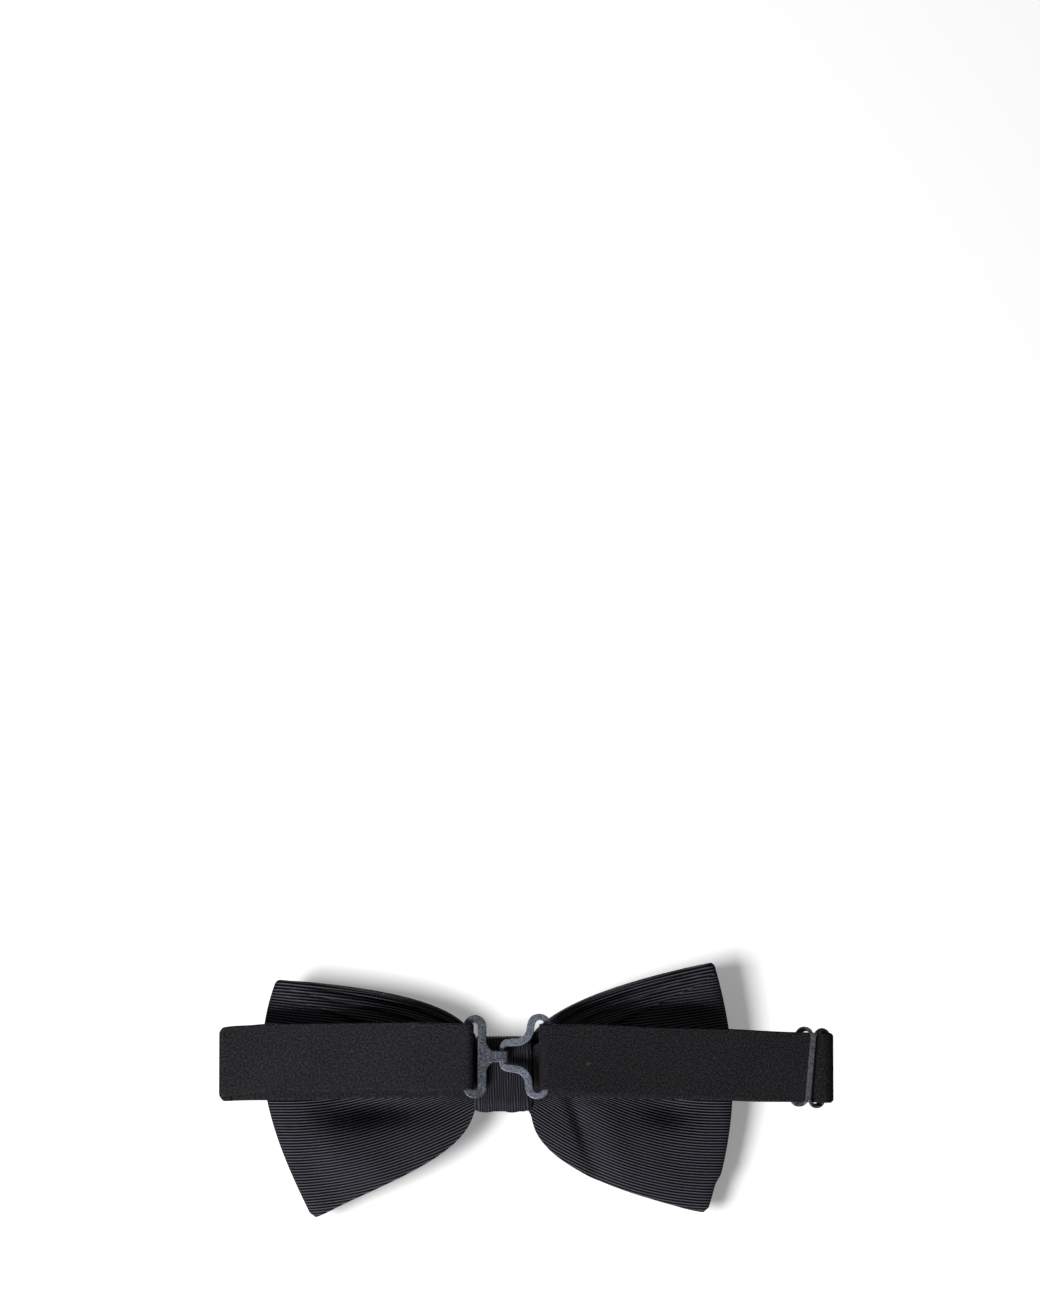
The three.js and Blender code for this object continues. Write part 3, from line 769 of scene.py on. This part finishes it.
bandShape = {
    "thickness": 0.68, "columns": 25, "step": 0.8,
    "half": 8.9, "tucked": 8.4, "gathered": 7.2,  # half widths: flat, at the clasp and in the knot
    "level": -1.45,  # Y of the rear layer
    "claspLevel": 2.7, "claspHeight": 4.5, "loopRadius": 1.65,
    "buttGap": 2.0, "ramp": 14.0,  # before a fold, and between a clasp's bar and the flat stretch
}
hookSide = {
    "foldX": 73.55, "foldY": -0.35, "radius": 1.1, "corner": 1.3, "bar": 9.66,
    "riseAt": (9.66, 20, 62, 71, 75), "rise": (0, 0.7, 1.8, 1.4, 1.0),
    "tail": ((6, 3.15), (12, 3.15)),  # out from the bar and Y, inside the loop
}
sliderSide = {"foldX": 84.0, "foldY": 1.5, "radius": 2.85, "corner": 0.9, "sharp": 14, "bar": 11.5}
outerLevel = bandShape["claspLevel"] + bandShape["loopRadius"]
flatHalf, tucked = bandShape["half"], bandShape["tucked"]


def resample(route, step):
    route = np.array(route, float)
    gaps = np.linalg.norm(np.diff(route[:, :2], axis=0), axis=1)
    length = np.concatenate([[0], np.cumsum(gaps)])
    count = max(int(length[-1] / step), 4)
    at = np.linspace(0, length[-1], count + 1)
    at = np.unique(np.concatenate([at, length]).round(4))
    at = at[np.concatenate([[True], np.diff(at) > 0.12])]
    return np.stack([np.interp(at, length, route[:, k]) for k in range(4)], 1), at


# ripple(x, v, along) gives how far the cloth stands off its route and how far its edges move.
def strap(name, route, finish, ripple=None, smooth=2, body=None):
    line, along = resample(route, bandShape["step"])
    for _ in range(smooth):
        line[1:-1] = (line[:-2] + 2 * line[1:-1] + line[2:]) / 4
    heading = np.gradient(line[:, :2], axis=0)
    heading /= np.linalg.norm(heading, axis=1, keepdims=True)
    normal = np.stack([-heading[:, 1], heading[:, 0]], 1)
    v = np.sin(np.linspace(-math.pi / 2, math.pi / 2, bandShape["columns"]))
    grid = np.zeros((len(line), len(v), 3))
    weave = np.zeros((len(line), len(v), 2))
    for i, (x, y, z, half) in enumerate(line):
        off, edge = ripple(x, v, along[i]) if ripple else (0.0, 0.0)
        grid[i, :, 0] = x + normal[i, 0] * off
        grid[i, :, 1] = y + normal[i, 1] * off
        grid[i, :, 2] = z + half * v + edge
        weave[i, :, 0] = along[i]
        weave[i, :, 1] = half * v
    thick = bandShape["thickness"]
    return shell(name, grid, -thick / 2, thick, False, [weave], [0] * (len(v) - 1), finish, body)


# A round turn of the band. Its corners are rounded by corner, and it climbs by climb.
def turnOf(cx, cy, radius, start, end, z, half, count=14, corner=0.0, sharp=4, climb=0.0):
    points = []
    for k in range(count + 1):
        angle = math.radians(start + (end - start) * k / count)
        bulge = abs(math.cos(angle))
        rounding = corner * max(0.0, 1 - math.sqrt(max(0.0, 1 - bulge ** sharp)))
        x, y = cx + radius * math.cos(angle), cy + radius * math.sin(angle)
        points.append((x, y, z + climb * k / count, half - rounding))
    return points


def rearSide(side):
    rearEnd = side["foldY"] - side["radius"]
    wide = knotExit + 9  # where the band has spread to its full width
    out = []
    butt = side["foldX"] - bandShape["buttGap"]
    for x in (knotExit, knotExit + 3, knotExit + 6, wide, 28, 40, 52, 64, butt):
        spread = float(ease(knotExit, wide, x))
        share = min(max((x - wide) / (side["foldX"] - wide), 0), 1)
        y = bandShape["level"] + (rearEnd - bandShape["level"]) * share
        z = (bandHeightAt(x) - 1.1 * (1 - share)) * spread
        gathered = bandShape["gathered"]
        out.append((x, y, float(z), gathered + (flatHalf - gathered) * spread))
    return out


def rearRipple(x, v, along):
    away = ease(12, 20, abs(x))
    return 0.10 * np.sin(x * 0.16 + v) * away, 0.10 * np.sin(x * 0.21) * away


def makeRearBand():
    hookHalf = rearSide(hookSide)
    sliderHalf = [(-x, y, z, h) for x, y, z, h in rearSide(sliderSide)]
    piece = strap("bandRear", hookHalf[::-1] + sliderHalf, hookBandFinish, rearRipple, body="bow")
    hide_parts("band_rear")


def hookRipple(x, v, along):
    flatPart = ease(11, 22, x) * ease(72, 66, x)
    swell = 0.22 * np.sin(x * 0.105 + 1.2 + v * 0.8) + 0.12 * np.sin(x * 0.27 + v * 2.1)
    outer = ease(4, 9, along)
    lift = outer * flatPart * (0.35 * bell((x - 52) / 15) + 0.3 * np.sin(x * 0.24) * ease(18, 30, x))
    lower = np.clip(-v, 0, 1) ** 3
    upper = np.clip(v, 0, 1) ** 3
    return swell * flatPart * outer, lift * lower - 0.18 * flatPart * outer * upper


# The outer layer lies higher than the rear one, which peeps out under it beside the fold.
def hookRise(x):
    return float(np.interp(x, hookSide["riseAt"], hookSide["rise"]))


def makeHookBand():
    foldX, foldY, radius, bar = (hookSide[key] for key in ("foldX", "foldY", "radius", "bar"))
    butt = foldX - bandShape["buttGap"]
    route = [(butt, foldY - radius, float(bandHeightAt(butt)), flatHalf)]
    height = float(bandHeightAt(foldX))
    route += turnOf(
        foldX, foldY, radius, -88, 88, height, flatHalf, corner=hookSide["corner"], climb=hookRise(foldX),
    )
    ramp = bar + bandShape["ramp"]
    start = foldY + radius
    slope = (start - outerLevel) / (foldX - ramp)
    for x, y, h in (
        (butt, start, flatHalf),
        (62, outerLevel + slope * (62 - ramp), flatHalf),
        (ramp + 16, outerLevel + slope * 16, flatHalf),
        (ramp, outerLevel, flatHalf),
        (bar + 3, outerLevel, tucked),
        (bar + 1, outerLevel, tucked),
    ):
        route.append((x, y, float(bandHeightAt(x)) + hookRise(x), h))
    claspLevel, loopRadius = bandShape["claspLevel"], bandShape["loopRadius"]
    route += turnOf(bar, claspLevel, loopRadius, 90, 270, bandShape["claspHeight"], tucked)
    for out, y in ((2.2, claspLevel - loopRadius), *hookSide["tail"]):
        route.append((bar + out, y, float(bandHeightAt(bar + out)), tucked))
    piece = strap("bandHookSide", route, hookBandFinish, hookRipple, smooth=1)
    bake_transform(piece)
    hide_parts("band_fold_hook_side", "band_hook_side")


def sliderRipple(x, v, along):
    flatPart = ease(-12, -22, x) * ease(-82, -76, x)
    swell = 0.14 * np.sin(x * 0.09 + v * 0.9) + 0.07 * np.sin(x * 0.31 + v * 1.7)
    return swell * flatPart, 0.10 * np.sin(x * 0.19) * flatPart


def makeSliderBand():
    foldX, foldY, radius, bar = (sliderSide[key] for key in ("foldX", "foldY", "radius", "bar"))
    butt = foldX - bandShape["buttGap"]
    route = [(-butt, foldY - radius, float(bandHeightAt(butt)), flatHalf)]
    height = float(bandHeightAt(foldX))
    corner, sharp = sliderSide["corner"], sliderSide["sharp"]
    route += turnOf(-foldX, foldY, radius, 268, 92, height, flatHalf, 18, corner, sharp)
    ramp = bar + bandShape["ramp"]
    for x, y, h in (
        (butt, foldY + radius, flatHalf),
        (ramp + 16, outerLevel, flatHalf),
        (ramp, outerLevel, flatHalf),
        (bar + 3, outerLevel, tucked),
        (bar + 1, outerLevel, tucked),
    ):
        route.append((-x, y, float(bandHeightAt(x)), h))
    claspLevel, loopRadius = bandShape["claspLevel"], bandShape["loopRadius"]
    route += turnOf(-bar, claspLevel, loopRadius, 90, -90, bandShape["claspHeight"], tucked)
    piece = strap("bandSliderSide", route, sliderBandFinish, sliderRipple, smooth=1)
    # the blend runs a little inwards, so that the loop round the eye's bar lies wholly past its end
    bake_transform(piece)
    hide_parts("band_fold_slider_side", "band_slider_side")


def makeReturn():
    low, high = boxOf("band_return")
    level = low[1] + bandShape["thickness"] / 2
    near = bandShape["claspLevel"] - bandShape["loopRadius"]
    route = [
        (high[0], near, bandShape["claspHeight"], tucked),
        (high[0] - 6, level, float(bandHeightAt(high[0] - 6)), tucked),
        (low[0] + 20, level, float(bandHeightAt(low[0] + 20)), tucked),
        (low[0], level, float(bandHeightAt(low[0])), tucked),
    ]
    piece = strap("bandReturn", route, sliderBandFinish, body="slider_side_band")
    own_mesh(piece)
    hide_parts("band_return")


# The end of the band: out under the slider's middle bar, round it and back, in the slider's own frame.
sewnEnd = {
    "at": -81.0, "lean": 5.0, "bar": 3.7, "level": 1.95, "radius": 1.25,
    "straight": 1.2, "tail": 5.0,
}


def makeSewnEnd():
    lean = math.radians(sewnEnd["lean"])
    at, height = sewnEnd["at"], float(bandHeightAt(sewnEnd["at"]))
    bar, level, radius = sewnEnd["bar"], sewnEnd["level"], sewnEnd["radius"]
    near, far = bar + sewnEnd["straight"], bar + sewnEnd["tail"]
    under, over = level - radius, level + radius
    turn = [(x, y) for x, y, _, _ in turnOf(bar, level, radius, 270, 90, 0, 0)]
    local = [(far, under), (near, under), *turn, (near, over), (far, over)]
    piece = strap("bandSewnEnd", [(x, y, 0.0, tucked) for x, y in local], sliderBandFinish, smooth=1)
    c, s = math.cos(lean), math.sin(lean)
    for vertex in piece.data.vertices:
        x, y, z = vertex.co
        vertex.co = (x * c - z * s + at * mm, y, x * s + z * c + height * mm)
    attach(piece, "slider")
    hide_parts("band_sewn_end")


makeRearBand()
makeHookBand()
makeSliderBand()
makeReturn()
makeSewnEnd()
print("neck band made")


# Hook, eye and slider: pressed plates with softened edges

def softened(node, name, finish, body, voxel=0.14, rounds=5):
    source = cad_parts[node]
    piece = bpy.data.objects.new(name, source.data.copy())
    bpy.context.scene.collection.objects.link(piece)
    remesh = piece.modifiers.new("even", "REMESH")
    remesh.mode = "VOXEL"
    remesh.voxel_size = voxel * mm
    remesh.use_smooth_shade = True
    smooth = piece.modifiers.new("soften", "SMOOTH")
    smooth.factor = 0.5
    smooth.iterations = rounds
    graph = bpy.context.evaluated_depsgraph_get()
    mesh = bpy.data.meshes.new_from_object(piece.evaluated_get(graph))
    piece.modifiers.clear()
    piece.data = mesh
    mesh.materials.clear()
    mesh.materials.append(finish)
    mesh.polygons.foreach_set("use_smooth", [True] * len(mesh.polygons))
    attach(piece, body)
    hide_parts(node)


softened("hook", "hookPlate", hookFinish, "hook")
softened("eye", "eyePlate", eyeFinish, "eye")
softened("slider", "sliderPlate", sliderFinish, "slider")

for node in ("waist_thread", "knot_seam_stitch", "hook_end_stitch", "slider_end_stitch"):
    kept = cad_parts[node]
    kept.data.materials.clear()
    kept.data.materials.append(threadFinish)
print("metal made")


# Stage, light and camera

stageLook = {
    "backdropAt": -0.0168, "lean": 0.085, "floorAt": -0.066, "white": 0.9, "glow": 0.24,
    "world": 0.12, "key": 35.0, "paper": 24.0, "fill": 1.5, "front": 14.0,
}


def plane(name, corners, finish):
    mesh = bpy.data.meshes.new(name)
    mesh.from_pydata(corners, [], [(0, 1, 2, 3)])
    mesh.materials.append(finish)
    made = bpy.data.objects.new(name, mesh)
    bpy.context.scene.collection.objects.link(made)
    for ray in ("visible_diffuse", "visible_glossy", "visible_transmission", "visible_shadow"):
        setattr(made, ray, False)
    made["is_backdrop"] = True


# White paper, seen from its own side only, so that the bow's front can be looked at past it.
def paper():
    sheet = Finish("paper")
    sheet.set(colour=shade(stageLook["white"]), roughness=0.95, specular=0.0)
    sheet.shader.inputs["Emission Color"].default_value = shade(1.0)
    sheet.shader.inputs["Emission Strength"].default_value = stageLook["glow"]
    clear = sheet.node("ShaderNodeBsdfTransparent")
    facing = sheet.node("ShaderNodeNewGeometry", None, None, output=6)
    solid = Field(sheet, sheet.shader.outputs[0])
    both = sheet.node("ShaderNodeMixShader", None, {0: facing, 1: solid, 2: clear})
    surface = sheet.tree.nodes["Material Output"].inputs["Surface"]
    sheet.tree.links.new(both.socket, surface)
    return sheet.material


paperFinish = paper()
wide, backAt, floorAt = 3.0, stageLook["backdropAt"], stageLook["floorAt"]
lean = stageLook["lean"] * wide
backCorners = [(wide, lean, -wide), (-wide, lean, -wide), (-wide, -lean, wide), (wide, -lean, wide)]
plane("backdrop", [(x, backAt + out, z) for x, out, z in backCorners], paperFinish)
floorCorners = [(-wide, -wide), (wide, -wide), (wide, wide), (-wide, wide)]
plane("floor", [(x, y, floorAt) for x, y in floorCorners], paperFinish)


def collected(name, members):
    made = bpy.data.collections.new(name)
    for member in members:
        made.objects.link(member)
    return made


# A softbox lights only what is in lit, and only what is in shading throws its shadow.
def softbox(name, at, size, power, lit, shading=None):
    data = bpy.data.lights.new(name, "AREA")
    data.shape = "SQUARE"
    data.size = size
    data.energy = power
    lamp = bpy.data.objects.new(name, data)
    lamp.location = at
    lamp.rotation_mode = "QUATERNION"
    lamp.rotation_quaternion = (-Vector(at)).to_track_quat("-Z", "Y")
    bpy.context.scene.collection.objects.link(lamp)
    lamp.light_linking.receiver_collection = lit
    lamp.light_linking.blocker_collection = shading


shown = [o for o in bpy.context.scene.objects if o.type == "MESH"]
paperLit = collected("paper", [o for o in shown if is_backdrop(o)])
tieLit = collected("bowTie", [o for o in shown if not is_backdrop(o)])
bowOnly = collected("bowOnly", [o for o in shown if o.name in ("rearBow", "frontBow", "knotWrap")])
softbox("keySoftbox", (0.66, 1.05, -1.02), 0.6, stageLook["key"], tieLit)
softbox("paperSoftbox", (0.75, 1.2, -0.2), 0.55, stageLook["paper"], paperLit, bowOnly)
softbox("fillSoftbox", (-0.9, 1.2, 0.8), 0.9, stageLook["fill"], tieLit)
softbox("frontSoftbox", (0.5, -1.2, 0.7), 0.7, stageLook["front"], tieLit)

world = bpy.data.worlds.new("whiteRoom")
world.use_nodes = True
world.node_tree.nodes["Background"].inputs["Color"].default_value = (1, 1, 1, 1)
world.node_tree.nodes["Background"].inputs["Strength"].default_value = stageLook["world"]
bpy.context.scene.world = world
bpy.context.scene.view_settings.view_transform = "Standard"

cameraLook = {"at": (-0.0045, 1.5, 0.0), "aim": (-0.0045, 0.0, 0.1122), "lens": 156.9}
camera = bpy.data.objects.new("camera", bpy.data.cameras.new("camera"))
camera.data.lens = cameraLook["lens"]
camera.data.sensor_width = 36
camera.data.clip_start = 0.05
camera.data.clip_end = 20
camera.location = cameraLook["at"]
camera.rotation_mode = "QUATERNION"
camera.rotation_quaternion = (Vector(cameraLook["aim"]) - camera.location).to_track_quat("-Z", "Y")
bpy.context.scene.collection.objects.link(camera)
bpy.context.scene.camera = camera
print("stage set")
